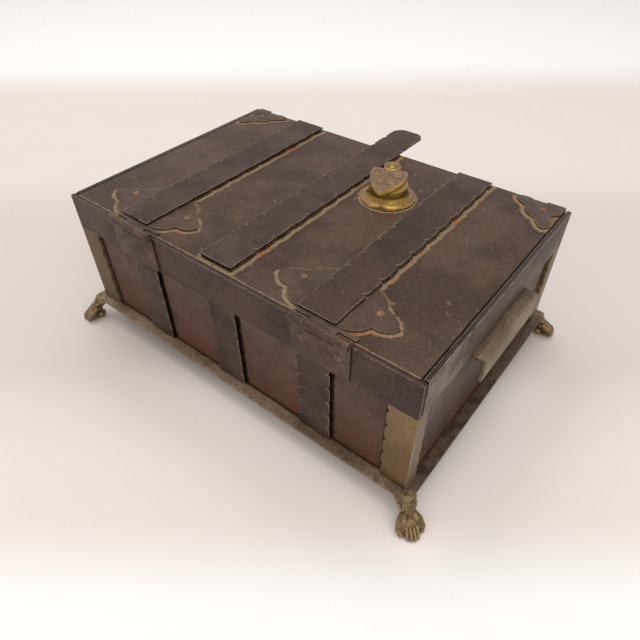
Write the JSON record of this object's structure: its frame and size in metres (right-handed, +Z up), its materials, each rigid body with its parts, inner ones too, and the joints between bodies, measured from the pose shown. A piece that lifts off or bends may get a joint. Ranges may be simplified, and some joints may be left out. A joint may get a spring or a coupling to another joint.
{
  "type": "strongbox",
  "caption": "Low rectangular iron strongbox with strapped walls, a flat hinged lid with a pull tongue, a brass lock under a swinging cover, end handles and cast paw feet.",
  "frame": {"origin": "on the ground, in the middle of the whole box as seen from above, with its feet, handles and pull tongue", "axes": "+X along the length to the right end, beside the lock; +Y to the front, where the tongue stands out; +Z up"},
  "size_m": [0.3508, 0.2674, 0.137],
  "materials": {
    "lid_iron": "thin dark iron sheet with a brown patina and specks of rust",
    "panel_iron": "reddish brown iron sheet, rusted towards the floor",
    "band_iron": "dark grey iron with worn, shiny edges",
    "strap_iron": "dark hammered iron with a dull sheen",
    "base_iron": "brown iron plate with worn edges",
    "handle_iron": "brushed tan grey iron",
    "hinge_iron": "dark iron with worn knuckles",
    "ornament_iron": "thin brown iron with tan dust at its edges",
    "lock_iron": "plain bright steel, filed",
    "fastener_steel": "darkened steel",
    "rivet_iron": "dark iron",
    "rivet_copper": "dull copper",
    "post_brass": "aged olive brass",
    "foot_brass": "cast brass, dark in its hollows",
    "lock_brass": "golden brass with copper tones"
  },
  "bodies": {
    "case": {"back_band": "band_iron", "back_left_foot": "foot_brass", "back_left_post": "post_brass", "back_left_strap": "strap_iron", "back_middle_strap": "strap_iron", "back_panel": "panel_iron", "back_right_foot": "foot_brass", "back_right_post": "post_brass", "back_right_strap": "strap_iron", "band_rivets": "rivet_iron", "base_plate": "base_iron", "base_rivets": "rivet_iron", "bolt_staple": "lock_iron", "foot_nuts": "fastener_steel", "front_band": "band_iron", "front_left_foot": "foot_brass", "front_left_post": "post_brass", "front_left_strap": "strap_iron", "front_middle_strap": "strap_iron", "front_panel": "panel_iron", "front_right_foot": "foot_brass", "front_right_post": "post_brass", "front_right_strap": "strap_iron", "hinge_screws": "fastener_steel", "left_band": "band_iron", "left_handle": "handle_iron", "left_hinge_body_leaf": "hinge_iron", "left_hinge_pin": "fastener_steel", "left_panel": "panel_iron", "post_rivets": "rivet_iron", "right_band": "band_iron", "right_handle": "handle_iron", "right_hinge_body_leaf": "hinge_iron", "right_hinge_pin": "fastener_steel", "right_panel": "panel_iron", "staple_rivets": "rivet_iron", "wall_strap_rivets": "rivet_iron"},
    "lid": {"lid_plate": "lid_iron", "left_lid_strap": "strap_iron", "right_lid_strap": "strap_iron", "pull_strap": "strap_iron", "left_hinge_lid_leaf": "hinge_iron", "right_hinge_lid_leaf": "hinge_iron", "left_wing_plate": "ornament_iron", "right_wing_plate": "ornament_iron", "left_corner_plate": "ornament_iron", "right_corner_plate": "ornament_iron", "lid_strap_rivets": "rivet_iron", "ornament_rivets": "rivet_copper", "lock_boss": "lock_brass", "boss_nut": "lock_brass", "lock_case": "lock_iron", "lock_case_rivets": "rivet_iron", "cover_pivot": "lock_brass"},
    "cover": {"keyhole_cover": "lock_brass"},
    "plug": {"lock_plug": "lock_brass", "lock_pinion": "lock_brass"},
    "bolt": {"bolt": "lock_iron"}
  },
  "joints": [
    {"name": "lid_hinge", "type": "hinge", "parent": "case", "child": "lid", "pos_m": [0, -0.11312, 0.1234], "axis": [1, 0, 0], "range_deg": [0, 205]},
    {"name": "cover_swing", "type": "hinge", "parent": "lid", "child": "cover", "pos_m": [0.0284, 0.05068, 0.1323], "axis": [0, 0, 1], "range_deg": [-105, 105]},
    {"name": "bolt_slide", "type": "slide", "parent": "lid", "child": "bolt", "axis": [0, 1, 0], "range_m": [0, 0.0094]},
    {"name": "plug_turn", "type": "hinge", "parent": "lid", "child": "plug", "pos_m": [0.0376, 0.03208, 0.1215], "axis": [0, 0, 1], "range_deg": [0, 96]}
  ],
  "couplings": [
    {"joint": "plug_turn", "follows": "bolt_slide", "rad_per_m": 166.67}
  ]
}
